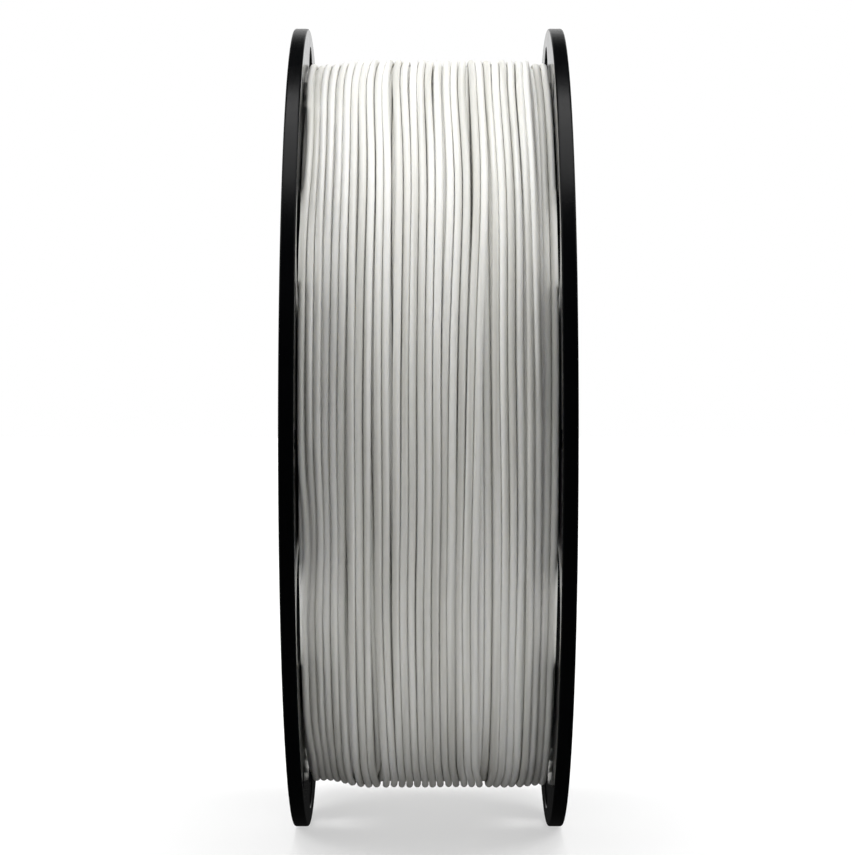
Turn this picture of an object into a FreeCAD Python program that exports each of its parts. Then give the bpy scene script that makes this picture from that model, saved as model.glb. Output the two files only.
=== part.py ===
import FreeCAD, Part
import math
import os

# A filament spool standing on its rims. The spool's axis is X, +Z is up, and the origin is on the axis
# half way between the flanges. Angles are turned about X from twelve o'clock towards the front (-Y).
# Lengths are millimetres.

V = FreeCAD.Vector
CENTRE = V(0, 0, 0)
AXIS = V(1, 0, 0)

# Whole spool.
FLANGE_RADIUS = 100.0
INNER_FACE = 29.7          # from the middle of the spool to a flange's inner face
RIM_THICKNESS = 3.5
WEB_THICKNESS = 2.4
BORE_RADIUS = 27.0
OUTER_FACE = INNER_FACE + RIM_THICKNESS
WEB_FACE = INNER_FACE + WEB_THICKNESS
SECTORS = 6                # windows, spokes, snap hooks and keys per flange
SECTOR_ANGLE = 360.0 / SECTORS
SPOKE_ANGLE = SECTOR_ANGLE / 2

# Raised beads on a flange's outer face.
RIM_BEAD = 2.0             # radial width
HUB_BEAD_RADIUS = 31.0
SEAT_BEAD_INNER = 48.5     # the bead over the drum's end
SEAT_BEAD_OUTER = 51.5
RIM_ROUND = 0.5
BEAD_ROUND = 0.4
BORE_ROUND = 0.6

# Pear-shaped windows, wide end out.
WINDOW_OUTER_CENTRE = 82.6
WINDOW_OUTER_RADIUS = 13.4
WINDOW_INNER_CENTRE = 63.0
WINDOW_INNER_RADIUS = 6.0
WINDOW_LIP = 2.4

# Slots near the rim that hold the filament's loose end, one at each spoke.
CLIP_SLOT_RADII = (91.2, 97.4)
CLIP_SLOT_WIDTH = 4.4
CLIP_SLOT_ROUND = 0.8
CLIP_SLOT_OFFSET = 1.63    # degrees past the middle of the spoke

# Half sleeve round the bore, and the ribs that hold it.
SLEEVE_RADIUS = 29.2
SLEEVE_GAP = 0.2
RIB_THICKNESS = 1.6
RIB_DEPTH = 8.0

# Core drum, and the spigot of each flange that fits inside it.
DRUM_RADIUS = 50.0
DRUM_WALL = 2.2
DRUM_BORE = DRUM_RADIUS - DRUM_WALL
DRUM_HALF = INNER_FACE - 0.1
SPIGOT_RADII = (45.3, DRUM_BORE - 0.1)
SPIGOT_DEPTH = 6.0
KEY_WIDTH = 4.0
KEY_DEPTH = 7.0
KEY_FOOT = 44.5
KEY_PLAY = 0.3             # each side of a key
LEDGE_FOOT = 44.0
LEDGE_FAR = 19.6           # from the middle of the spool
LEDGE_NEAR = 17.6
LEDGE_WIDTH = 11.0

# Snap hooks, which reach past the drum's ledges.
HOOK_WIDTH = 8.0
HOOK_RADII = (41.6, 43.6)
HOOK_NOSE_RADIUS = 45.2
HOOK_CATCH = 17.4
HOOK_TIP = 13.2
HOOK_NOSE_FLAT = 1.0
HOOK_TIP_RELIEF = 0.2

# Filament, wound from the drum out.
STRAND_DIAMETER = 1.75
STRAND_RADIUS = STRAND_DIAMETER / 2
WINDING_HALF = 29.2
WINDING_FOOT = DRUM_RADIUS + 0.05
UNDER_LAYER_FOOT = 88.05
TOP_LAYER_FOOT = 89.7
LAYER_GAP = 0.03
WINDING_CROWN = 91.5
WINDING_SHOULDER = 90.6
SHOULDER_ROUND = 0.8

# The filament's first end goes in through the drum's wall and lies along the inside.
START_HOLE_RADIUS = 1.5
START_X = -18.0
START_ANGLE = 15.0
START_BEND = 5 * STRAND_DIAMETER
START_DROP = 1.4
START_TAIL = 6.0

# The filament's last end lies on the winding, runs straight to a clip slot at the back and goes out.
END_X = 26.2
END_RADIUS = 91.9
END_FROM_ANGLE = 318.0
END_SLOT_ANGLE = 270.0 + CLIP_SLOT_OFFSET
END_SLOT_RADIUS = 94.6
END_BEND = 6.0
END_TIP_X = 38.0

EMBED = 0.5                # how far a boss starts inside the wall that it grows from


def turned(shape, angle):
    """A copy of a shape, turned about the spool's axis."""
    copy = shape.copy()
    copy.rotate(CENTRE, AXIS, angle)
    return copy


def around(shape, first_angle=0.0, count=SECTORS):
    """Copies of a shape, evenly spaced round the axis."""
    return [turned(shape, first_angle + i * 360.0 / count) for i in range(count)]


def on_wheel(x, radius, angle):
    """The point at a radius and an angle from twelve o'clock."""
    a = math.radians(angle)
    return V(x, -radius * math.sin(a), radius * math.cos(a))


def ring(x_start, x_end, inner_radius, outer_radius):
    """A tube round the axis."""
    length = x_end - x_start
    outside = Part.makeCylinder(outer_radius, length, V(x_start, 0, 0), AXIS)
    inside = Part.makeCylinder(inner_radius, length, V(x_start, 0, 0), AXIS)
    return outside.cut(inside)


def block(x_start, x_end, foot, head, width):
    """A bar at twelve o'clock between two heights, centred on the middle plane."""
    return Part.makeBox(x_end - x_start, width, head - foot, V(x_start, -width / 2, foot))


def edges_at(shape, x=None, radius=None):
    """A shape's edges that lie in the plane at x, are arcs of a radius, or both."""
    found = []
    for edge in shape.Edges:
        in_plane = x is None or all(abs(v.X - x) < 1e-6 for v in edge.Vertexes)
        in_plane = in_plane and (x is None or abs(edge.BoundBox.XLength) < 1e-6)
        right_arc = radius is None or abs(getattr(edge.Curve, "Radius", 0.0) - radius) < 1e-6
        if in_plane and right_arc:
            found.append(edge)
    return found


def window_prism(x_start, x_end, grow=0.0):
    """The twelve o'clock window's pear shape, grown by a margin and made solid."""
    big = WINDOW_OUTER_RADIUS + grow
    small = WINDOW_INNER_RADIUS + grow
    sine = (big - small) / (WINDOW_OUTER_CENTRE - WINDOW_INNER_CENTRE)
    cosine = math.sqrt(1 - sine * sine)

    def point(centre, radius, side):
        return V(x_start, side * radius * cosine, centre - radius * sine)

    outer_left = point(WINDOW_OUTER_CENTRE, big, -1)
    outer_right = point(WINDOW_OUTER_CENTRE, big, 1)
    inner_left = point(WINDOW_INNER_CENTRE, small, -1)
    inner_right = point(WINDOW_INNER_CENTRE, small, 1)
    outer_tip = V(x_start, 0, WINDOW_OUTER_CENTRE + big)
    inner_tip = V(x_start, 0, WINDOW_INNER_CENTRE - small)
    outline = [
        Part.Arc(outer_left, outer_tip, outer_right).toShape(),
        Part.LineSegment(outer_right, inner_right).toShape(),
        Part.Arc(inner_right, inner_tip, inner_left).toShape(),
        Part.LineSegment(inner_left, outer_left).toShape(),
    ]
    return Part.Face(Part.Wire(outline)).extrude(V(x_end - x_start, 0, 0))


def flange_plate():
    """The thin disc with its windows, rounded where the filament rubs."""
    plate = ring(INNER_FACE, WEB_FACE, BORE_RADIUS, FLANGE_RADIUS - RIM_BEAD / 2)
    window = window_prism(INNER_FACE, WEB_FACE)
    plate = plate.cut(around(window))
    sharp = []
    for edge in edges_at(plate, x=INNER_FACE):
        far_out = edge.BoundBox.Center.Length > DRUM_RADIUS
        if far_out and getattr(edge.Curve, "Radius", 0.0) < DRUM_RADIUS:
            sharp.append(edge)
    return plate.makeFillet(BEAD_ROUND, sharp)


def flange_beads():
    """The raised rim, hub, drum seat and window lips."""
    rim = ring(INNER_FACE, OUTER_FACE, FLANGE_RADIUS - RIM_BEAD, FLANGE_RADIUS)
    rim = rim.makeFillet(RIM_ROUND, edges_at(rim, radius=FLANGE_RADIUS, x=INNER_FACE)
                         + edges_at(rim, radius=FLANGE_RADIUS, x=OUTER_FACE))
    rim = rim.makeFillet(BEAD_ROUND, edges_at(rim, radius=FLANGE_RADIUS - RIM_BEAD, x=OUTER_FACE))

    hub = ring(INNER_FACE, OUTER_FACE, BORE_RADIUS, HUB_BEAD_RADIUS)
    hub = hub.makeFillet(BORE_ROUND, edges_at(hub, x=OUTER_FACE))

    seat = ring(WEB_FACE - EMBED, OUTER_FACE, SEAT_BEAD_INNER, SEAT_BEAD_OUTER)
    seat = seat.makeFillet(BEAD_ROUND, edges_at(seat, x=OUTER_FACE))

    lip = window_prism(WEB_FACE - EMBED, OUTER_FACE, WINDOW_LIP)
    lip = lip.cut(window_prism(WEB_FACE - EMBED, OUTER_FACE))
    lip = lip.makeFillet(BEAD_ROUND, edges_at(lip, x=OUTER_FACE))
    return [rim, hub, seat] + around(lip)


def spigot():
    """The ring that fits inside the drum's end, with a gap for each of the drum's keys."""
    collar = ring(INNER_FACE - SPIGOT_DEPTH, INNER_FACE + EMBED, *SPIGOT_RADII)
    gap = block(INNER_FACE - SPIGOT_DEPTH, INNER_FACE, SPIGOT_RADII[0] - 1, SPIGOT_RADII[1] + 1,
                KEY_WIDTH + 2 * KEY_PLAY)
    return collar.cut(around(gap))


def snap_hook():
    """A springy tongue with a catch that points outwards, at twelve o'clock."""
    back, front = HOOK_RADII
    root = INNER_FACE + EMBED
    outline = [
        (root, back),
        (root, front),
        (HOOK_CATCH, front),
        (HOOK_CATCH, HOOK_NOSE_RADIUS),
        (HOOK_CATCH - HOOK_NOSE_FLAT, HOOK_NOSE_RADIUS),
        (HOOK_TIP, front - HOOK_TIP_RELIEF),
        (HOOK_TIP, back),
    ]
    points = [V(x, -HOOK_WIDTH / 2, z) for x, z in outline]
    face = Part.Face(Part.makePolygon(points + points[:1]))
    return face.extrude(V(0, HOOK_WIDTH, 0))


def clip_slot():
    """The round-cornered slot that takes the filament's end, at twelve o'clock."""
    foot, head = CLIP_SLOT_RADII
    slot = block(INNER_FACE - 1, OUTER_FACE + 1, foot, head, CLIP_SLOT_WIDTH)
    corners = [e for e in slot.Edges if e.BoundBox.XLength > RIM_THICKNESS]
    return slot.makeFillet(CLIP_SLOT_ROUND, corners)


def flange():
    """The right-hand flange in one piece: disc, beads, half sleeve, ribs, spigot and snap hooks."""
    sleeve = ring(SLEEVE_GAP / 2, INNER_FACE + EMBED, BORE_RADIUS, SLEEVE_RADIUS)
    rib = block(INNER_FACE - RIB_DEPTH, INNER_FACE + EMBED, SLEEVE_RADIUS - EMBED,
                SPIGOT_RADII[0] + EMBED, RIB_THICKNESS)
    bosses = flange_beads() + [sleeve, spigot()]
    bosses += around(rib, first_angle=SPOKE_ANGLE / 2, count=2 * SECTORS)
    bosses += around(snap_hook(), first_angle=SPOKE_ANGLE)
    whole = flange_plate().fuse(bosses)

    mould_opening = block(INNER_FACE - EMBED, WEB_FACE + 1, HOOK_RADII[1], HOOK_NOSE_RADIUS, HOOK_WIDTH)
    cuts = around(mould_opening, first_angle=SPOKE_ANGLE)
    cuts += around(clip_slot(), first_angle=SPOKE_ANGLE + CLIP_SLOT_OFFSET)
    return whole.cut(cuts).removeSplitter()


def core_drum():
    """The tube that the filament is wound on, with ledges for the hooks and keys for the spigots."""
    tube = ring(-DRUM_HALF, DRUM_HALF, DRUM_BORE, DRUM_RADIUS)
    wall_middle = DRUM_RADIUS - DRUM_WALL / 2
    ledge = block(LEDGE_NEAR, LEDGE_FAR, LEDGE_FOOT - 1, wall_middle, LEDGE_WIDTH)
    ledge = ledge.common(ring(LEDGE_NEAR, LEDGE_FAR, LEDGE_FOOT, wall_middle))
    key = block(DRUM_HALF - KEY_DEPTH, DRUM_HALF, KEY_FOOT, wall_middle, KEY_WIDTH)
    right_end = around(ledge, first_angle=SPOKE_ANGLE) + around(key)
    left_end = [piece.mirror(CENTRE, AXIS) for piece in right_end]
    start_hole = Part.makeCylinder(START_HOLE_RADIUS, 3 * DRUM_WALL,
                                   V(START_X, 0, DRUM_BORE - DRUM_WALL), V(0, 0, 1))
    return tube.fuse(right_end + left_end).cut(turned(start_hole, START_ANGLE)).removeSplitter()


def winding_band(foot, head):
    """A plain ring of wound filament."""
    return ring(-WINDING_HALF, WINDING_HALF, foot, head)


def top_layer():
    """The outermost layer's outer shape, crowned in the middle and rounded down at the flanges."""
    drop = SHOULDER_ROUND * (1 - math.sqrt(0.5))
    left_foot = V(-WINDING_HALF, 0, TOP_LAYER_FOOT)
    right_foot = V(WINDING_HALF, 0, TOP_LAYER_FOOT)
    left_side = V(-WINDING_HALF, 0, WINDING_SHOULDER - SHOULDER_ROUND)
    right_side = V(WINDING_HALF, 0, WINDING_SHOULDER - SHOULDER_ROUND)
    left_shoulder = V(-WINDING_HALF + SHOULDER_ROUND, 0, WINDING_SHOULDER)
    right_shoulder = V(WINDING_HALF - SHOULDER_ROUND, 0, WINDING_SHOULDER)
    left_round = V(-WINDING_HALF + drop, 0, WINDING_SHOULDER - drop)
    right_round = V(WINDING_HALF - drop, 0, WINDING_SHOULDER - drop)
    outline = [
        Part.LineSegment(left_foot, left_side).toShape(),
        Part.Arc(left_side, left_round, left_shoulder).toShape(),
        Part.Arc(left_shoulder, V(0, 0, WINDING_CROWN), right_shoulder).toShape(),
        Part.Arc(right_shoulder, right_round, right_side).toShape(),
        Part.LineSegment(right_side, right_foot).toShape(),
        Part.LineSegment(right_foot, left_foot).toShape(),
    ]
    return Part.Face(Part.Wire(outline)).revolve(CENTRE, AXIS, 360)


def bend(corner, arriving, leaving, radius):
    """The arc that rounds a corner between two directions at right angles, and its two ends."""
    first = corner - arriving * radius
    last = corner + leaving * radius
    middle = corner + (leaving - arriving) * (radius * (1 - math.sqrt(0.5)))
    return Part.Arc(first, middle, last).toShape(), first, last


def strand(edges, start, direction):
    """A round strand swept along edges that run on smoothly."""
    section = Part.Wire(Part.makeCircle(STRAND_RADIUS, start, direction))
    return Part.Wire(edges).makePipeShell([section], True, True)


def filament_start():
    """The filament's first end, in through the drum's wall and along the inside."""
    inwards = on_wheel(0, -1, START_ANGLE)
    start = on_wheel(START_X, WINDING_FOOT - LAYER_GAP, START_ANGLE)
    corner = start + inwards * (START_DROP + START_BEND)
    arc, first, last = bend(corner, inwards, AXIS, START_BEND)
    edges = [
        Part.LineSegment(start, first).toShape(),
        arc,
        Part.LineSegment(last, last + AXIS * START_TAIL).toShape(),
    ]
    return strand(edges, start, inwards)


def filament_end():
    """The filament's last end: round the winding, straight to the clip slot and out through it."""
    lift_angle = math.degrees(math.acos(END_RADIUS / END_SLOT_RADIUS))
    leave_angle = END_SLOT_ANGLE + lift_angle
    start = on_wheel(END_X, END_RADIUS, END_FROM_ANGLE)
    half_way = on_wheel(END_X, END_RADIUS, (END_FROM_ANGLE + leave_angle) / 2)
    leave = on_wheel(END_X, END_RADIUS, leave_angle)
    corner = on_wheel(END_X, END_SLOT_RADIUS, END_SLOT_ANGLE)
    arriving = (corner - leave).normalize()
    arc, first, last = bend(corner, arriving, AXIS, END_BEND)
    tip = V(END_TIP_X, corner.y, corner.z)
    edges = [
        Part.Arc(start, half_way, leave).toShape(),
        Part.LineSegment(leave, first).toShape(),
        arc,
        Part.LineSegment(last, tip).toShape(),
    ]
    return strand(edges, start, on_wheel(0, 1, END_FROM_ANGLE - 90))


right_flange = flange()
pieces = {
    "left_flange": right_flange.mirror(CENTRE, AXIS),
    "right_flange": right_flange,
    "core_drum": core_drum(),
    "filament_inner_layers": winding_band(WINDING_FOOT, UNDER_LAYER_FOOT - LAYER_GAP),
    "filament_under_layer": winding_band(UNDER_LAYER_FOOT, TOP_LAYER_FOOT - LAYER_GAP),
    "filament_top_layer": top_layer(),
    "filament_start_end": filament_start(),
    "filament_free_end": filament_end(),
}

os.makedirs("parts", exist_ok=True)
for name, piece in pieces.items():
    if not piece.isValid() or len(piece.Solids) != 1:
        raise ValueError(f"{name} is not one valid solid")
    piece.exportStep(f"parts/{name}.step")
    print(f"{name}: {piece.Volume / 1000:.1f} cm3")
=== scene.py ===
import math

import bmesh
import bpy
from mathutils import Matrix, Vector, noise


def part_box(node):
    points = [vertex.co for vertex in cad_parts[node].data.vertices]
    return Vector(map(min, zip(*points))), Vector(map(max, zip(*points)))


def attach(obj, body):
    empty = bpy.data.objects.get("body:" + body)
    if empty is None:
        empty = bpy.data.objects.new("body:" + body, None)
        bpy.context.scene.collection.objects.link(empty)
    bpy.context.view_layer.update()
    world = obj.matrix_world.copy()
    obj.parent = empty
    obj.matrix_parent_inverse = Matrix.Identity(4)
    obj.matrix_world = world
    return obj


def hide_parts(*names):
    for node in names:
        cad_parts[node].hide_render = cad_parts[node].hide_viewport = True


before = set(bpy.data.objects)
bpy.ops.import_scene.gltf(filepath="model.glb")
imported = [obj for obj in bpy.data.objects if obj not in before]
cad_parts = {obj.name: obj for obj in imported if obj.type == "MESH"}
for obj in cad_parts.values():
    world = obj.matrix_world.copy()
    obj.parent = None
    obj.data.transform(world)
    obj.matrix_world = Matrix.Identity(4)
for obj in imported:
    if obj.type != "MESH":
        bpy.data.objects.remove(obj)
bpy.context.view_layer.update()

# A filament spool standing on its rims: X is the spool's axis, -Y the front, Z up. Lengths are metres.
# A wheel angle is turned from twelve o'clock towards the front, in degrees.

MM = 0.001

# ---------------------------------------------------------------- places, from the frame

FLANGE_LOW, FLANGE_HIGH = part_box("right_flange")
FREE_LOW, FREE_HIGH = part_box("filament_free_end")
DRUM_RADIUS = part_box("core_drum")[1].z
WINDING_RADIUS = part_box("filament_top_layer")[1].z
FLOOR_LEVEL = FLANGE_LOW.z
RIM_THICKNESS = 3.5 * MM
INNER_FACE = FLANGE_HIGH.x - RIM_THICKNESS

# ---------------------------------------------------------------- the wound filament

STRAND_DIAMETER = 1.75 * MM
STRAND_RADIUS = STRAND_DIAMETER / 2
TOP_TURNS = 29
UNDER_TURNS = 28

# A turn starts at the seam, runs flat for some of its steps, and steps over in the rest.
STEPS_PER_TURN = 144
FLAT_STEPS = 80
SEAM_ANGLE = 190.0

CROWN_RADIUS = WINDING_RADIUS - STRAND_RADIUS
OFF_CENTRE = 0.95 * MM
LAYER_STEP = 1.5 * MM
SIDE_PLAY = 0.2 * MM
EDGE_CENTRE = INNER_FACE - SIDE_PLAY - STRAND_RADIUS
PITCH = 2 * EDGE_CENTRE / TOP_TURNS

# Where the winding stands back from each flange: (wheel angle, distance in mm).
LEFT_STAND_BACK = (
    (0, 0.1), (20, 0.1), (43, 0.95), (64, 0.0), (92, 0.0),
    (107, 1.0), (122, 0.1), (140, 0.1), (157, 0.8), (260, 0.3),
)
RIGHT_STAND_BACK = ((0, 0.0), (80, 0.0), (100, 0.2), (120, 0.5), (165, 0.3), (260, 0.4))
PUSHED_WIDTH = 15.0 * MM

# How far the winding falls away towards each flange: (wheel angle, depth in mm), over a width.
LEFT_SHOULDER = ((0, 0.9), (45, 1.3), (75, 2.6), (110, 2.9), (150, 2.6), (176, 1.6), (270, 0.9))
RIGHT_SHOULDER = (
    (0, 0.6), (8, 1.0), (20, 3.2), (45, 3.8), (85, 3.2),
    (100, 2.3), (155, 2.0), (174, 0.5), (270, 0.6),
)
LEFT_SHOULDER_WIDTH = 13.0 * MM
RIGHT_SHOULDER_WIDTH = 5.5 * MM
SHOULDER_STEEPNESS = 1.35

# Turns that lie below their neighbours for a while: (turn, wheel angle, half length in degrees, depth in mm).
DIPS = (
    (0, 106, 40, 0.80),
    (1, 30, 46, 0.85),
    (1, 112, 34, 0.80),
    (3, 92, 50, 0.55),
    (5, 118, 44, 0.50),
    (7, 104, 36, 0.45),
    (8, 114, 28, 0.75),
    (12, 74, 44, 0.70),
    (17, 100, 38, 0.65),
    (19, 112, 44, 0.75),
    (22, 40, 38, 0.50),
    (24, 133, 28, 0.75),
    (26, 66, 40, 0.60),
)

# Gaps after a turn that open and close again: (turn, wheel angle, half length in degrees, width in mm).
GAPS = (
    (0, 108, 30, 0.36),
    (2, 71, 34, 0.26),
    (3, 46, 22, 0.28),
    (6, 52, 24, 0.40),
    (7, 65, 60, 0.20),
    (11, 75, 46, 0.22),
    (12, 22, 24, 0.32),
    (13, 110, 40, 0.18),
    (14, 50, 36, 0.18),
    (16, 53, 26, 0.48),
    (16, 92, 56, 0.20),
    (17, 63, 36, 0.20),
    (18, 115, 70, 0.24),
    (19, 105, 36, 0.14),
    (21, 115, 52, 0.20),
    (24, 92, 44, 0.18),
    (25, 78, 26, 0.32),
    (25, 131, 24, 0.26),
    (27, 12, 44, 0.45),
)

# The turns lie evenly near the top and the bottom (degrees to each side, and over which that fades).
EVEN_REACH = 5.0
EVEN_FADE = 22.0

# How unevenly they lie elsewhere: noise waves in a turn, depths in mm, and powers of the looseness.
SLOW_WAVES = 1.3
FAST_WAVES = 3.7
MEAN_SINK = 0.15
SLOW_SINK = 0.44
FAST_SINK = 0.08
EVEN_SHARE = 0.30
EVEN_LOOSENESS = 2.5
UNRULY_LOOSENESS = 6.5
CLOSEST_SHARE = 0.55

# The loose end: along the winding, straight to a clip slot at the back, and out through it.
END_SIDE = FREE_LOW.x + STRAND_RADIUS
END_TIP = FREE_HIGH.x
END_RADIUS = 91.9 * MM
END_SLOT_RADIUS = 94.6 * MM
END_SLOT_ANGLE = 271.63
END_BEND = 6.0 * MM
END_ON_TOP_ANGLE = 318.0
CLIMB_STEPS = 24
RIDE_STEPS = 14
BEND_STEPS = 12


def wheel_point(side, radius, angle):
    """The point at a place along the axis, a radius and a wheel angle."""
    turn = math.radians(angle)
    return Vector((side, -radius * math.sin(turn), radius * math.cos(turn)))


def smooth_step(value):
    """0 to 1 with a soft start and a soft stop."""
    value = min(1.0, max(0.0, value))
    return value * value * (3 - 2 * value)


def lift_at(angle):
    """How far the winding is built up above its mean: most at the top, and least at the bottom."""
    return OFF_CENTRE * math.cos(math.radians(angle))


def between_marks(marks, angle):
    """A distance that goes smoothly from mark to mark, round the whole wheel."""
    angle %= 360.0
    around = list(marks) + [(marks[0][0] + 360.0, marks[0][1])]
    for (start, low), (stop, high) in zip(around, around[1:]):
        if start <= angle <= stop:
            return (low + (high - low) * smooth_step((angle - start) / (stop - start))) * MM
    return marks[0][1] * MM


def near_left(place, width):
    """1 at the left flange, falling to 0 over a width."""
    return max(0.0, 1 - (place + EDGE_CENTRE) / width)


def near_right(place, width):
    """1 at the right flange, falling to 0 over a width."""
    return max(0.0, 1 - (EDGE_CENTRE - place) / width)


def pushed(place, angle):
    """A place along the axis, after the strands near each flange have been pushed off it."""
    from_left = between_marks(LEFT_STAND_BACK, angle) * near_left(place, PUSHED_WIDTH)**2
    from_right = between_marks(RIGHT_STAND_BACK, angle) * near_right(place, PUSHED_WIDTH)**2
    return place + from_left - from_right


def shoulder_at(place, angle):
    """How far the winding has fallen away towards the flanges at this place."""
    left = smooth_step(SHOULDER_STEEPNESS * near_left(place, LEFT_SHOULDER_WIDTH))
    right = smooth_step(SHOULDER_STEEPNESS * near_right(place, RIGHT_SHOULDER_WIDTH))
    return between_marks(LEFT_SHOULDER, angle) * left + between_marks(RIGHT_SHOULDER, angle) * right


def strand_angle(turn):
    """The wheel angle that the strand has reached after some turns."""
    return SEAM_ANGLE - 360.0 * turn


def marked_at(turn, marks):
    """The sum of the marks that reach this place on the strand, each fading out at its two ends."""
    total = 0.0
    for marked, angle, reach, amount in marks:
        centre = marked + (SEAM_ANGLE - angle) / 360.0
        total += amount * MM * (1 - smooth_step(abs(turn - centre) * 360.0 / reach))
    return total


def unruly(turn):
    """1 round the front and the back, falling to 0 at the top and the bottom, where the turns lie evenly."""
    from_top = abs((strand_angle(turn) + 180.0) % 360.0 - 180.0)
    return smooth_step((min(from_top, 180.0 - from_top) - EVEN_REACH) / EVEN_FADE)


def sink_at(turn, seed, dips):
    """How far the strand sits below its layer's smooth surface."""
    slow = noise.noise(Vector((turn * SLOW_WAVES, seed, 0.4)))
    fast = noise.noise(Vector((turn * FAST_WAVES, seed + 9.0, 0.8)))
    roughness = EVEN_SHARE + (1 - EVEN_SHARE) * unruly(turn)
    return ((SLOW_SINK * slow + FAST_SINK * fast) * roughness + MEAN_SINK) * MM + marked_at(turn, dips)


def looseness_at(turn, seed):
    """The share of the spare width that opens between the strand and its next turn."""
    slow = noise.noise(Vector((turn * SLOW_WAVES, seed + 20.0, 0.1)))
    return math.exp((EVEN_LOOSENESS + UNRULY_LOOSENESS * unruly(turn)) * slow)


def lay_layer(turns, edge, seed, side, dips, gaps):
    """One layer as a list of (place along the axis, radius, wheel angle), wound from one flange to the other.

    Each turn runs flat round the front, from the bottom to the top, and steps over to the next place
    behind. Neighbouring turns come no nearer than they can lie, and the spare width is shared between
    them unevenly, so that gaps open and close round the spool. The layer's first and last turns lie at
    its edges. The side is 1 where it is wound from the left flange, and -1 from the right.
    """
    count = turns * STEPS_PER_TURN + FLAT_STEPS
    sinks = [sink_at(k / STEPS_PER_TURN, seed, dips) for k in range(count + 1)]
    loose = [looseness_at(k / STEPS_PER_TURN, seed) for k in range(count + 1)]
    places = [0.0] * (count + 1)

    def least(k):
        """How near the next turn may lie: nearer where it is higher or lower than this one."""
        height = sinks[k + STEPS_PER_TURN] - sinks[k]
        lying = math.sqrt(max(STRAND_DIAMETER**2 - height**2, (CLOSEST_SHARE * STRAND_DIAMETER)**2))
        return lying + marked_at(k / STEPS_PER_TURN, gaps)

    def spread(k, strands, start, stop):
        """Places every strand that passes this wheel angle, from start to stop along the axis."""
        steps = [k + i * STEPS_PER_TURN for i in range(strands - 1)]
        share = (stop - start - sum(least(i) for i in steps)) / sum(loose[i] for i in steps)
        places[k] = start
        for i in steps:
            places[i + STEPS_PER_TURN] = places[i] + least(i) + share * loose[i]

    for k in range(FLAT_STEPS + 1):
        spread(k, turns + 1, -edge, edge)
    first_step = places[STEPS_PER_TURN] - places[0]
    last_step = places[count] - places[count - STEPS_PER_TURN]
    for k in range(FLAT_STEPS + 1, STEPS_PER_TURN):
        part = smooth_step((k - FLAT_STEPS) / (STEPS_PER_TURN - FLAT_STEPS))
        spread(k, turns, -edge + part * first_step, edge - (1 - part) * last_step)

    laid = []
    for k, place in enumerate(places):
        angle = strand_angle(k / STEPS_PER_TURN)
        drop = shoulder_at(place * side, angle)
        place = pushed(place * side, angle)
        laid.append((place, CROWN_RADIUS + lift_at(angle) - drop - sinks[k], angle))
    return laid


def loose_end(start):
    """The strand's last stretch, from the top layer's end to its tip outside the right flange."""
    side, radius, angle = start
    points = []
    climb = (angle - END_ON_TOP_ANGLE) % 360.0
    for i in range(1, CLIMB_STEPS + 1):
        part = i / CLIMB_STEPS
        reached = END_ON_TOP_ANGLE + climb * (1 - part)
        # It rises over the first half or so, and moves sideways over the last two thirds.
        risen = smooth_step(1.8 * part)
        moved = smooth_step(1.5 * part - 0.5)
        points.append(wheel_point(
            side + (END_SIDE - side) * moved,
            radius + (END_RADIUS + lift_at(reached) - radius) * risen,
            reached,
        ))

    lift = math.degrees(math.acos(END_RADIUS / END_SLOT_RADIUS))
    leave_angle = END_SLOT_ANGLE + lift
    for i in range(1, RIDE_STEPS + 1):
        angle = END_ON_TOP_ANGLE + (leave_angle - END_ON_TOP_ANGLE) * i / RIDE_STEPS
        points.append(wheel_point(END_SIDE, END_RADIUS + lift_at(angle), angle))

    corner = wheel_point(END_SIDE, END_SLOT_RADIUS, END_SLOT_ANGLE)
    arriving = (corner - points[-1]).normalized()
    leaving = Vector((1, 0, 0))
    hub = corner - arriving * END_BEND + leaving * END_BEND
    for i in range(BEND_STEPS + 1):
        turn = math.pi / 2 * i / BEND_STEPS
        points.append(hub + (arriving * math.sin(turn) - leaving * math.cos(turn)) * END_BEND)
    points.append(Vector((END_TIP, corner.y, corner.z)))
    return points


def strand_curve(name, points):
    """A round strand along points, as one open curve with closed ends."""
    curve = bpy.data.curves.new(name, "CURVE")
    curve.dimensions = "3D"
    curve.bevel_depth = STRAND_RADIUS
    curve.bevel_resolution = 4
    curve.use_fill_caps = True
    spline = curve.splines.new("POLY")
    spline.points.add(len(points) - 1)
    for spline_point, place in zip(spline.points, points):
        spline_point.co = (*place, 1.0)
    spline.use_smooth = True
    strand = bpy.data.objects.new(name, curve)
    bpy.context.collection.objects.link(strand)
    return strand


def top_strand():
    """The outermost layer and the loose end, one strand."""
    laid = lay_layer(TOP_TURNS, EDGE_CENTRE, 3.0, 1, DIPS, GAPS)
    points = [wheel_point(*place) for place in laid] + loose_end(laid[-1])
    return strand_curve("filament_top_strand", points)


def under_strand():
    """The layer below, wound back the other way, which shows in the gaps."""
    laid = lay_layer(UNDER_TURNS, EDGE_CENTRE - PITCH / 2, 7.0, -1, (), ())
    points = [wheel_point(side, radius - LAYER_STEP, angle) for side, radius, angle in laid]
    return strand_curve("filament_under_strand", points)


# ---------------------------------------------------------------- the buried layers

BURIED_TOP = 86.8 * MM
SCALLOP_STEPS = 6
SPIN_STEPS = 200
NEST_INSET = 0.42 * MM
MERGE_DISTANCE = 0.001 * MM

# How far the sides wander in, and the noise that it follows: its size, and its steps from row to row.
WANDER = 0.15 * MM
WANDER_MEAN = 0.6
WANDER_WAVES = 1.3
WANDER_LAYER_STEP = 5.1
WANDER_RIGHT_STEP = 40


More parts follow.
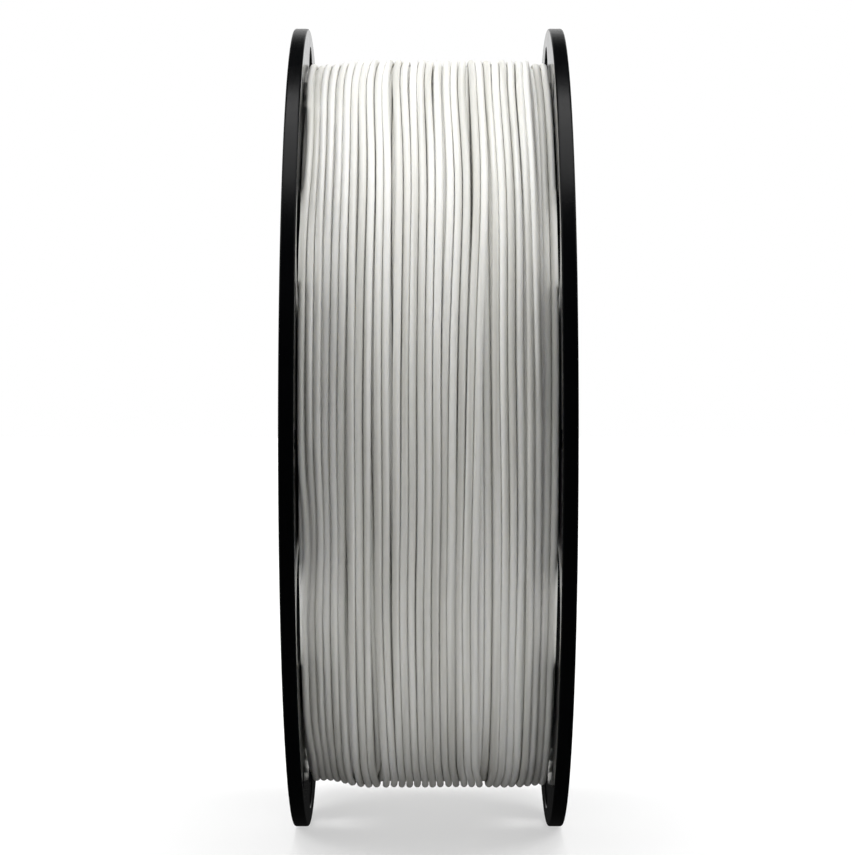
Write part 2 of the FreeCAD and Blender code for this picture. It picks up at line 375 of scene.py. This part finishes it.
def put_in_order(shape):
    """Lists corners, edges and faces by their places, because a spin lists them differently each time."""
    for rank, vert in enumerate(sorted(shape.verts, key=lambda vert: tuple(vert.co))):
        vert.index = rank
    shape.verts.sort()
    for joined in (shape.edges, shape.faces):
        ordered = sorted(joined, key=lambda part: sorted(vert.index for vert in part.verts))
        for rank, part in enumerate(ordered):
            part.index = rank
        joined.sort()


def buried_layers():
    """The stacked layers under the top two: a ring whose sides show each layer's outer turn as a ridge."""
    layers = round((BURIED_TOP - DRUM_RADIUS) / LAYER_STEP)
    pitch = (BURIED_TOP - DRUM_RADIUS) / layers
    half_ridge = math.asin(pitch / 2 / STRAND_RADIUS)

    profile = []
    for layer in range(layers):
        middle = DRUM_RADIUS + (layer + 0.5) * pitch
        inset = NEST_INSET * (layer % 2)
        for i in range(SCALLOP_STEPS):
            turn = half_ridge * (2 * i / (SCALLOP_STEPS - 1) - 1)
            side = EDGE_CENTRE - inset + STRAND_RADIUS * math.cos(turn)
            profile.append((side, middle + STRAND_RADIUS * math.sin(turn)))
    outline = profile + [(-side, radius) for side, radius in reversed(profile)]

    ring = bmesh.new()
    corners = [ring.verts.new((side, 0, radius)) for side, radius in outline]
    for here, there in zip(corners, corners[1:] + corners[:1]):
        ring.edges.new((here, there))
    bmesh.ops.spin(ring, geom=ring.verts[:] + ring.edges[:], axis=(1, 0, 0), cent=(0, 0, 0), dvec=(0, 0, 0),
                   angle=2 * math.pi, steps=SPIN_STEPS, use_merge=True)
    bmesh.ops.remove_doubles(ring, verts=ring.verts[:], dist=MERGE_DISTANCE)
    bmesh.ops.recalc_face_normals(ring, faces=ring.faces[:])
    for vert in ring.verts:
        radius = math.hypot(vert.co.y, vert.co.z)
        layer = math.floor((radius - DRUM_RADIUS) / pitch)
        around = Vector((vert.co.y, vert.co.z, 0)) / radius * WANDER_WAVES
        row = WANDER_LAYER_STEP * layer + (WANDER_RIGHT_STEP if vert.co.x > 0 else 0)
        drift = noise.noise(around + Vector((0, 0, row)))
        vert.co.x -= math.copysign(WANDER * (WANDER_MEAN + drift), vert.co.x)
    put_in_order(ring)
    mesh = bpy.data.meshes.new("filament_buried_layers")
    ring.to_mesh(mesh)
    ring.free()
    for face in mesh.polygons:
        face.use_smooth = True
    piece = bpy.data.objects.new("filament_buried_layers", mesh)
    bpy.context.collection.objects.link(piece)
    return piece


# ---------------------------------------------------------------- materials


def filament_material():
    """Natural white printing plastic: smooth, faintly streaked along the strand by the die. Each turn is also
    made a little warmer or cooler and darker or lighter at random, and its darkening is painted shade
    standing in for turns that sit lower.
    """
    material = bpy.data.materials.new("white_filament")
    material.use_nodes = True
    nodes, links = material.node_tree.nodes, material.node_tree.links
    nodes.clear()

    output = nodes.new("ShaderNodeOutputMaterial")
    output.label = "Filament surface"
    output.location = (900, 0)
    plastic = nodes.new("ShaderNodeBsdfPrincipled")
    plastic.label = "White printing plastic"
    plastic.location = (600, 0)
    plastic.inputs["Specular IOR Level"].default_value = 0.30
    plastic.inputs["Subsurface Weight"].default_value = 0.7
    plastic.inputs["Subsurface Radius"].default_value = (1.0, 0.98, 0.92)
    plastic.inputs["Subsurface Scale"].default_value = 0.6 * MM

    shade_and_warmth_frame = nodes.new("NodeFrame")
    shade_and_warmth_frame.label = "Painted shade and warmth, turn by turn"
    streak_frame = nodes.new("NodeFrame")
    streak_frame.label = "Die lines along the strand"
    sheen_frame = nodes.new("NodeFrame")
    sheen_frame.label = "Uneven sheen"

    place = nodes.new("ShaderNodeTexCoord")
    place.label = "Place on the spool"
    place.location = (-900, 0)

    turns = nodes.new("ShaderNodeMapping")
    turns.label = "Each turn its own tint, drifting along it"
    turns.parent = shade_and_warmth_frame
    turns.location = (-600, 300)
    turns.inputs["Scale"].default_value = (520, 9, 9)
    drift = nodes.new("ShaderNodeTexNoise")
    drift.label = "Batches of tint"
    drift.parent = shade_and_warmth_frame
    drift.location = (-300, 300)
    drift.inputs["Scale"].default_value = 1.0
    drift.inputs["Detail"].default_value = 1.0
    # Painted shade: the darker, warmer end of this ramp darkens whole turns at random, standing in for the
    # shade on turns that sit lower; the lighter end is the plastic's own white, and the small warm-to-cool
    # shift is its own tint.
    tint_and_shade = nodes.new("ShaderNodeValToRGB")
    tint_and_shade.label = "Warm painted shade to cool white"
    tint_and_shade.parent = shade_and_warmth_frame
    tint_and_shade.location = (0, 300)
    tint_and_shade.color_ramp.elements[0].position = 0.36
    tint_and_shade.color_ramp.elements[0].color = (0.71, 0.705, 0.665, 1)
    tint_and_shade.color_ramp.elements[1].position = 0.60
    tint_and_shade.color_ramp.elements[1].color = (0.92, 0.915, 0.88, 1)

    stretch = nodes.new("ShaderNodeMapping")
    stretch.label = "Long round the axis, fine across it"
    stretch.parent = streak_frame
    stretch.location = (-600, -200)
    stretch.inputs["Scale"].default_value = (5200, 60, 60)
    lines = nodes.new("ShaderNodeTexNoise")
    lines.label = "Die lines"
    lines.parent = streak_frame
    lines.location = (-300, -200)
    lines.inputs["Scale"].default_value = 1.0
    lines.inputs["Detail"].default_value = 2.0
    bump = nodes.new("ShaderNodeBump")
    bump.label = "Shallow relief"
    bump.parent = streak_frame
    bump.location = (0, -200)
    bump.inputs["Strength"].default_value = 0.25
    bump.inputs["Distance"].default_value = 0.02 * MM

    haze = nodes.new("ShaderNodeTexNoise")
    haze.label = "Rubbed and glossy stretches"
    haze.parent = sheen_frame
    haze.location = (-300, 0)
    haze.inputs["Scale"].default_value = 140.0
    sheen = nodes.new("ShaderNodeMapRange")
    sheen.label = "Roughness"
    sheen.parent = sheen_frame
    sheen.location = (0, 0)
    sheen.inputs["To Min"].default_value = 0.34
    sheen.inputs["To Max"].default_value = 0.50

    links.new(place.outputs["Object"], turns.inputs["Vector"])
    links.new(turns.outputs["Vector"], drift.inputs["Vector"])
    links.new(drift.outputs["Fac"], tint_and_shade.inputs["Fac"])
    links.new(tint_and_shade.outputs["Color"], plastic.inputs["Base Color"])
    links.new(place.outputs["Object"], stretch.inputs["Vector"])
    links.new(stretch.outputs["Vector"], lines.inputs["Vector"])
    links.new(lines.outputs["Fac"], bump.inputs["Height"])
    links.new(bump.outputs["Normal"], plastic.inputs["Normal"])
    links.new(place.outputs["Object"], haze.inputs["Vector"])
    links.new(haze.outputs["Fac"], sheen.inputs["Value"])
    links.new(sheen.outputs["Result"], plastic.inputs["Roughness"])
    links.new(plastic.outputs["BSDF"], output.inputs["Surface"])
    return material


def moulded_material(name, colour, glossy_face):
    """Black moulded plastic: satin rims, matt textured outer faces, and polished inner faces.

    The inner faces reach glossy_face from the middle, and 0 leaves nothing polished.
    """
    material = bpy.data.materials.new(name)
    material.use_nodes = True
    nodes, links = material.node_tree.nodes, material.node_tree.links
    nodes.clear()

    output = nodes.new("ShaderNodeOutputMaterial")
    output.label = "Moulding surface"
    output.location = (1100, 0)
    plastic = nodes.new("ShaderNodeBsdfPrincipled")
    plastic.label = "Black moulded plastic"
    plastic.location = (800, 0)
    plastic.inputs["Specular IOR Level"].default_value = 0.05

    grain_frame = nodes.new("NodeFrame")
    grain_frame.label = "Satin grain"
    face_frame = nodes.new("NodeFrame")
    face_frame.label = "Polished inner face"
    tone_frame = nodes.new("NodeFrame")
    tone_frame.label = "Faint flow marks"
    outer_frame = nodes.new("NodeFrame")
    outer_frame.label = "Matt outer face"

    place = nodes.new("ShaderNodeTexCoord")
    place.label = "Place on the spool"
    place.location = (-1100, 0)

    flow = nodes.new("ShaderNodeTexNoise")
    flow.label = "Flow of the melt"
    flow.parent = tone_frame
    flow.location = (-500, 400)
    flow.inputs["Scale"].default_value = 45.0
    flow.inputs["Detail"].default_value = 4.0
    flow.inputs["Distortion"].default_value = 0.8
    tone = nodes.new("ShaderNodeValToRGB")
    tone.label = "Black to soft black"
    tone.parent = tone_frame
    tone.location = (-200, 400)
    tone.color_ramp.elements[0].position = 0.3
    tone.color_ramp.elements[0].color = (*colour, 1)
    tone.color_ramp.elements[1].position = 0.8
    tone.color_ramp.elements[1].color = (*[1.7 * channel for channel in colour], 1)

    split = nodes.new("ShaderNodeSeparateXYZ")
    split.label = "Along the axis"
    split.parent = face_frame
    split.location = (-800, 0)
    away = nodes.new("ShaderNodeMath")
    away.label = "Distance from the middle"
    away.operation = "ABSOLUTE"
    away.parent = face_frame
    away.location = (-600, 0)
    beyond = nodes.new("ShaderNodeMapRange")
    beyond.label = "0 on the inner face, 1 off it"
    beyond.parent = face_frame
    beyond.location = (-400, 0)
    beyond.inputs["From Min"].default_value = glossy_face
    beyond.inputs["From Max"].default_value = glossy_face + 0.1 * MM
    polish = nodes.new("ShaderNodeMapRange")
    polish.label = "Polished on the inner face"
    polish.parent = face_frame
    polish.location = (-200, 0)
    polish.inputs["To Min"].default_value = 0.10
    polish.inputs["To Max"].default_value = 0.22

    facing = nodes.new("ShaderNodeSeparateXYZ")
    facing.label = "Which way it faces"
    facing.parent = outer_frame
    facing.location = (-800, 800)
    along = nodes.new("ShaderNodeMath")
    along.label = "How far along the axis it faces"
    along.operation = "ABSOLUTE"
    along.parent = outer_frame
    along.location = (-600, 800)
    flat = nodes.new("ShaderNodeMapRange")
    flat.label = "Only the flat faces"
    flat.parent = outer_frame
    flat.location = (-400, 800)
    flat.inputs["From Min"].default_value = 0.95
    flat.inputs["From Max"].default_value = 0.995
    outer = nodes.new("ShaderNodeMath")
    outer.label = "Outer faces"
    outer.operation = "MULTIPLY"
    outer.parent = outer_frame
    outer.location = (-200, 800)
    etched = nodes.new("ShaderNodeTexVoronoi")
    etched.label = "Etched pattern of the mould"
    etched.parent = outer_frame
    etched.location = (-600, 1100)
    etched.inputs["Scale"].default_value = 1100.0
    shade = nodes.new("ShaderNodeValToRGB")
    shade.label = "Black, lighter on the raised grain"
    shade.parent = outer_frame
    shade.location = (-300, 1100)
    shade.color_ramp.elements[0].position = 0.1
    shade.color_ramp.elements[0].color = (0.030, 0.031, 0.033, 1)
    shade.color_ramp.elements[1].position = 0.7
    shade.color_ramp.elements[1].color = (0.015, 0.0155, 0.017, 1)
    finish = nodes.new("ShaderNodeMix")
    finish.label = "Matt outside, deep black elsewhere"
    finish.data_type = "RGBA"
    finish.parent = outer_frame
    finish.location = (300, 700)

    fine = nodes.new("ShaderNodeTexNoise")
    fine.label = "Spark-eroded grain"
    fine.parent = grain_frame
    fine.location = (-500, -300)
    fine.inputs["Scale"].default_value = 2400.0
    fine.inputs["Detail"].default_value = 3.0
    depth = nodes.new("ShaderNodeMapRange")
    depth.label = "Grain only off the polished face"
    depth.parent = grain_frame
    depth.location = (-200, -500)
    depth.inputs["To Min"].default_value = 0.0
    depth.inputs["To Max"].default_value = 0.5
    bump = nodes.new("ShaderNodeBump")
    bump.label = "Grain relief"
    bump.parent = grain_frame
    bump.location = (300, -300)
    bump.inputs["Distance"].default_value = 0.03 * MM

    scuff = nodes.new("ShaderNodeTexNoise")
    scuff.label = "Handling marks"
    scuff.parent = grain_frame
    scuff.location = (-500, -700)
    scuff.inputs["Scale"].default_value = 320.0
    scuff.inputs["Detail"].default_value = 5.0
    scuff_range = nodes.new("ShaderNodeMapRange")
    scuff_range.label = "Slightly rougher where handled"
    scuff_range.parent = grain_frame
    scuff_range.location = (-200, -700)
    scuff_range.inputs["To Min"].default_value = -0.04
    scuff_range.inputs["To Max"].default_value = 0.08
    rough = nodes.new("ShaderNodeMath")
    rough.label = "Polish and handling marks"
    rough.operation = "ADD"
    rough.parent = grain_frame
    rough.location = (300, -600)
    matt = nodes.new("ShaderNodeMath")
    matt.label = "Rougher on the outer faces"
    matt.operation = "MULTIPLY_ADD"
    matt.use_clamp = True
    matt.parent = outer_frame
    matt.location = (300, 400)
    matt.inputs[1].default_value = 0.28

    links.new(place.outputs["Object"], flow.inputs["Vector"])
    links.new(flow.outputs["Fac"], tone.inputs["Fac"])
    links.new(place.outputs["Object"], split.inputs["Vector"])
    links.new(split.outputs["X"], away.inputs[0])
    links.new(away.outputs["Value"], beyond.inputs["Value"])
    links.new(beyond.outputs["Result"], polish.inputs["Value"])
    links.new(beyond.outputs["Result"], depth.inputs["Value"])
    links.new(place.outputs["Normal"], facing.inputs["Vector"])
    links.new(facing.outputs["X"], along.inputs[0])
    links.new(along.outputs["Value"], flat.inputs["Value"])
    links.new(flat.outputs["Result"], outer.inputs[0])
    links.new(beyond.outputs["Result"], outer.inputs[1])
    links.new(place.outputs["Object"], etched.inputs["Vector"])
    links.new(etched.outputs["Distance"], shade.inputs["Fac"])
    links.new(outer.outputs["Value"], finish.inputs["Factor"])
    links.new(tone.outputs["Color"], finish.inputs["A"])
    links.new(shade.outputs["Color"], finish.inputs["B"])
    links.new(finish.outputs["Result"], plastic.inputs["Base Color"])
    links.new(place.outputs["Object"], fine.inputs["Vector"])
    links.new(fine.outputs["Fac"], bump.inputs["Height"])
    links.new(depth.outputs["Result"], bump.inputs["Strength"])
    links.new(bump.outputs["Normal"], plastic.inputs["Normal"])
    links.new(place.outputs["Object"], scuff.inputs["Vector"])
    links.new(scuff.outputs["Fac"], scuff_range.inputs["Value"])
    links.new(polish.outputs["Result"], rough.inputs[0])
    links.new(scuff_range.outputs["Result"], rough.inputs[1])
    links.new(outer.outputs["Value"], matt.inputs[0])
    links.new(rough.outputs["Value"], matt.inputs[2])
    links.new(matt.outputs["Value"], plastic.inputs["Roughness"])
    links.new(plastic.outputs["BSDF"], output.inputs["Surface"])
    return material


def dress(piece, material):
    """Gives a piece one material."""
    piece.data.materials.clear()
    piece.data.materials.append(material)


# ---------------------------------------------------------------- the spool

white_filament = filament_material()
black_flange = moulded_material("black_flange", (0.0010, 0.0011, 0.0014), INNER_FACE + 0.02 * MM)
black_drum = moulded_material("black_drum", (0.0014, 0.0015, 0.0017), 0.0)

top = top_strand()
under = under_strand()
buried = buried_layers()
for piece, stood_for in (
    (top, ("filament_top_layer", "filament_free_end")),
    (under, ("filament_under_layer",)),
    (buried, ("filament_inner_layers",)),
):
    dress(piece, white_filament)
    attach(piece, "root")
    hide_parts(*stood_for)

dress(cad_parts["left_flange"], black_flange)
dress(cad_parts["right_flange"], black_flange)
dress(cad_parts["core_drum"], black_drum)
dress(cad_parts["filament_start_end"], white_filament)

# ---------------------------------------------------------------- the studio

FLOOR_SIZE = 60.0
BACKDROP_WHITE = 1.0

# The floor, where it is looked at (white, and glow, a painted glow that makes its shadow paler) and in the
# light that reaches the spool from it (bounce, thrown back, and uplight, a faint glow of its own that lights
# the spool from below).
FLOOR_WHITE = 0.45
FLOOR_GLOW = 0.55
FLOOR_BOUNCE = 0.44
FLOOR_UPLIGHT = 0.12

# How bright the unseen surroundings are.
FAINT_FILL = 0.02
LEFT_FILL = 0.62
RIGHT_FILL = 0.20
BEHIND_FILL = 1.2

# The overhead lights: (degrees that each leans across the spool, strength), the left one first.
OVERHEAD_LIGHTS = ((-42, 1.15), (0, 2.45), (42, 1.3))
OVERHEAD_SPREAD = 40.0
OVERHEAD_LEAN = 1.0

# The strip light, and the camera.
STRIP_HEIGHT_ANGLE = 40.0
STRIP_DISTANCE = 1.3
STRIP_LENGTH = 1.2
STRIP_WIDTH = 0.10
STRIP_SIDE = -0.6
STRIP_POWER = 0.15
CAMERA_DISTANCE = 0.780
CAMERA_LENS = 129.9
CAMERA_SHIFT = -0.0010


def floor_material():
    """White to look at, with its shadow painted paler by a glow, and a light grey in the light that it throws
    back up, with a faint glow of its own that lights the spool from below.
    """
    material = bpy.data.materials.new("pale_floor")
    material.use_nodes = True
    nodes, links = material.node_tree.nodes, material.node_tree.links
    nodes.clear()

    output = nodes.new("ShaderNodeOutputMaterial")
    output.label = "Floor surface"
    output.location = (300, 0)
    paint = nodes.new("ShaderNodeBsdfPrincipled")
    paint.label = "Matt paint"
    paint.location = (0, 0)
    paint.inputs["Roughness"].default_value = 0.9
    paint.inputs["Specular IOR Level"].default_value = 0.0
    paint.inputs["Emission Color"].default_value = (1, 1, 1, 1)

    shade_frame = nodes.new("NodeFrame")
    shade_frame.label = "White seen, grey in the bounce"
    glow_frame = nodes.new("NodeFrame")
    glow_frame.label = "Shadow painted paler by a glow"

    ray = nodes.new("ShaderNodeLightPath")
    ray.label = "What looks"
    ray.location = (-700, 200)
    shade = nodes.new("ShaderNodeMapRange")
    shade.label = "Grey in the bounce"
    shade.parent = shade_frame
    shade.location = (-400, 300)
    shade.inputs["To Min"].default_value = FLOOR_BOUNCE
    shade.inputs["To Max"].default_value = FLOOR_WHITE
    # Painted light: the floor glows, strongly where it is looked at so that its shadow looks paler, and
    # faintly to everything else so that it lights the spool from below where no shadow falls.
    glow = nodes.new("ShaderNodeMapRange")
    glow.label = "Lifts the shadow that is looked at"
    glow.parent = glow_frame
    glow.location = (-400, 0)
    glow.inputs["To Min"].default_value = FLOOR_UPLIGHT
    glow.inputs["To Max"].default_value = FLOOR_GLOW

    links.new(ray.outputs["Is Camera Ray"], shade.inputs["Value"])
    links.new(ray.outputs["Is Camera Ray"], glow.inputs["Value"])
    links.new(shade.outputs["Result"], paint.inputs["Base Color"])
    links.new(glow.outputs["Result"], paint.inputs["Emission Strength"])
    links.new(paint.outputs["BSDF"], output.inputs["Surface"])
    return material


def make_floor():
    """A plain white floor that takes the spool's shadow, painted paler by a glow, and lights it from below
    with its bounce and a faint glow of its own.
    """
    plan = bmesh.new()
    bmesh.ops.create_grid(plan, x_segments=1, y_segments=1, size=FLOOR_SIZE / 2)
    bmesh.ops.translate(plan, verts=plan.verts[:], vec=(0, 0, FLOOR_LEVEL))
    mesh = bpy.data.meshes.new("floor")
    plan.to_mesh(mesh)
    plan.free()
    floor = bpy.data.objects.new("floor", mesh)
    bpy.context.collection.objects.link(floor)
    floor.visible_glossy = False
    dress(floor, floor_material())


def make_world():
    """A white backdrop to look at, with light from both sides and from behind, and dark in front."""
    world = bpy.data.worlds.new("studio")
    bpy.context.scene.world = world
    world.use_nodes = True
    nodes, links = world.node_tree.nodes, world.node_tree.links
    nodes.clear()

    output = nodes.new("ShaderNodeOutputWorld")
    output.label = "Studio"
    output.location = (900, 0)

    seen_frame = nodes.new("NodeFrame")
    seen_frame.label = "What is looked at"
    sides_frame = nodes.new("NodeFrame")
    sides_frame.label = "Screens at both sides"
    behind_frame = nodes.new("NodeFrame")
    behind_frame.label = "Backdrop behind"
    sum_frame = nodes.new("NodeFrame")
    sum_frame.label = "All the fill light"

    choose = nodes.new("ShaderNodeMixShader")
    choose.label = "White where it is looked at"
    choose.parent = seen_frame
    choose.location = (700, 0)
    ray = nodes.new("ShaderNodeLightPath")
    ray.label = "What looks"
    ray.parent = seen_frame
    ray.location = (450, 300)
    white = nodes.new("ShaderNodeBackground")
    white.label = "White backdrop"
    white.parent = seen_frame
    white.location = (450, -200)
    white.inputs["Color"].default_value = (BACKDROP_WHITE, BACKDROP_WHITE, BACKDROP_WHITE, 1)
    fill = nodes.new("ShaderNodeBackground")
    fill.label = "Fill light"
    fill.parent = sum_frame
    fill.location = (450, 0)

    direction = nodes.new("ShaderNodeTexCoord")
    direction.label = "Direction"
    direction.location = (-700, 0)
    split = nodes.new("ShaderNodeSeparateXYZ")
    split.label = "Across, along and up"
    split.location = (-500, 0)

    left = nodes.new("ShaderNodeMapRange")
    left.label = "Left screen"
    left.parent = sides_frame
    left.interpolation_type = "SMOOTHSTEP"
    left.location = (-300, 300)
    left.inputs["From Min"].default_value = -0.85
    left.inputs["From Max"].default_value = -0.45
    left.inputs["To Min"].default_value = LEFT_FILL
    left.inputs["To Max"].default_value = 0.0
    right = nodes.new("ShaderNodeMapRange")
    right.label = "Right screen"
    right.parent = sides_frame
    right.interpolation_type = "SMOOTHSTEP"
    right.location = (-300, 50)
    right.inputs["From Min"].default_value = 0.45
    right.inputs["From Max"].default_value = 0.85
    right.inputs["To Min"].default_value = 0.0
    right.inputs["To Max"].default_value = RIGHT_FILL
    behind = nodes.new("ShaderNodeMapRange")
    behind.label = "Backdrop"
    behind.parent = behind_frame
    behind.interpolation_type = "SMOOTHSTEP"
    behind.location = (-300, -200)
    behind.inputs["From Min"].default_value = 0.80
    behind.inputs["From Max"].default_value = 0.97
    behind.inputs["To Min"].default_value = 0.0
    behind.inputs["To Max"].default_value = BEHIND_FILL
    above = nodes.new("ShaderNodeMapRange")
    above.label = "Only above the floor"
    above.parent = behind_frame
    above.location = (-300, -450)
    above.inputs["From Min"].default_value = -0.02
    above.inputs["From Max"].default_value = 0.03

    lit = nodes.new("ShaderNodeMath")
    lit.label = "Backdrop above the floor"
    lit.parent = behind_frame
    lit.operation = "MULTIPLY"
    lit.location = (-50, -300)
    sides = nodes.new("ShaderNodeMath")
    sides.label = "Both screens"
    sides.parent = sides_frame
    sides.operation = "ADD"
    sides.location = (-50, 150)
    screens = nodes.new("ShaderNodeMath")
    screens.label = "Screens and backdrop"
    screens.parent = sum_frame
    screens.operation = "ADD"
    screens.location = (150, 0)
    total = nodes.new("ShaderNodeMath")
    total.label = "And a faint fill"
    total.parent = sum_frame
    total.operation = "ADD"
    total.location = (300, 0)
    total.inputs[1].default_value = FAINT_FILL

    links.new(direction.outputs["Generated"], split.inputs["Vector"])
    links.new(split.outputs["X"], left.inputs["Value"])
    links.new(split.outputs["X"], right.inputs["Value"])
    links.new(split.outputs["Y"], behind.inputs["Value"])
    links.new(split.outputs["Z"], above.inputs["Value"])
    links.new(behind.outputs["Result"], lit.inputs[0])
    links.new(above.outputs["Result"], lit.inputs[1])
    links.new(left.outputs["Result"], sides.inputs[0])
    links.new(right.outputs["Result"], sides.inputs[1])
    links.new(sides.outputs["Value"], screens.inputs[0])
    links.new(lit.outputs["Value"], screens.inputs[1])
    links.new(screens.outputs["Value"], total.inputs[0])
    links.new(total.outputs["Value"], fill.inputs["Strength"])
    links.new(ray.outputs["Is Camera Ray"], choose.inputs["Fac"])
    links.new(fill.outputs["Background"], choose.inputs[1])
    links.new(white.outputs["Background"], choose.inputs[2])
    links.new(choose.outputs["Shader"], output.inputs["Surface"])


def aim(thing, target):
    """Turns a lamp or camera to face a point."""
    thing.rotation_euler = (Vector(target) - thing.location).to_track_quat("-Z", "Y").to_euler()


def make_lights():
    """Three soft lights in a row overhead, across the spool, and a thin strip above the front."""
    for tilt, strength in OVERHEAD_LIGHTS:
        overhead = bpy.data.lights.new("overhead", "SUN")
        overhead.energy = strength
        overhead.angle = math.radians(OVERHEAD_SPREAD)
        lamp = bpy.data.objects.new("overhead", overhead)
        bpy.context.collection.objects.link(lamp)
        lamp.location = wheel_point(math.tan(math.radians(tilt)), 1.0, OVERHEAD_LEAN)
        aim(lamp, (0, 0, 0))

    strip = bpy.data.lights.new("strip", "AREA")
    strip.shape = "RECTANGLE"
    strip.size = STRIP_LENGTH
    strip.size_y = STRIP_WIDTH
    strip.energy = STRIP_POWER
    lamp = bpy.data.objects.new("strip", strip)
    bpy.context.collection.objects.link(lamp)
    lamp.location = wheel_point(STRIP_SIDE, STRIP_DISTANCE, 90.0 - STRIP_HEIGHT_ANGLE)
    aim(lamp, (0, 0, 0))


def make_camera():
    """Level with the spool's middle, straight in front."""
    lens = bpy.data.cameras.new("camera")
    lens.lens = CAMERA_LENS
    lens.shift_x = CAMERA_SHIFT
    lens.clip_start = 0.05
    lens.clip_end = 200.0
    camera = bpy.data.objects.new("camera", lens)
    bpy.context.collection.objects.link(camera)
    camera.location = (0, -CAMERA_DISTANCE, 0)
    aim(camera, (0, 0, 0))
    bpy.context.scene.camera = camera


make_floor()
make_world()
make_lights()
make_camera()
bpy.context.scene.view_settings.view_transform = "Standard"
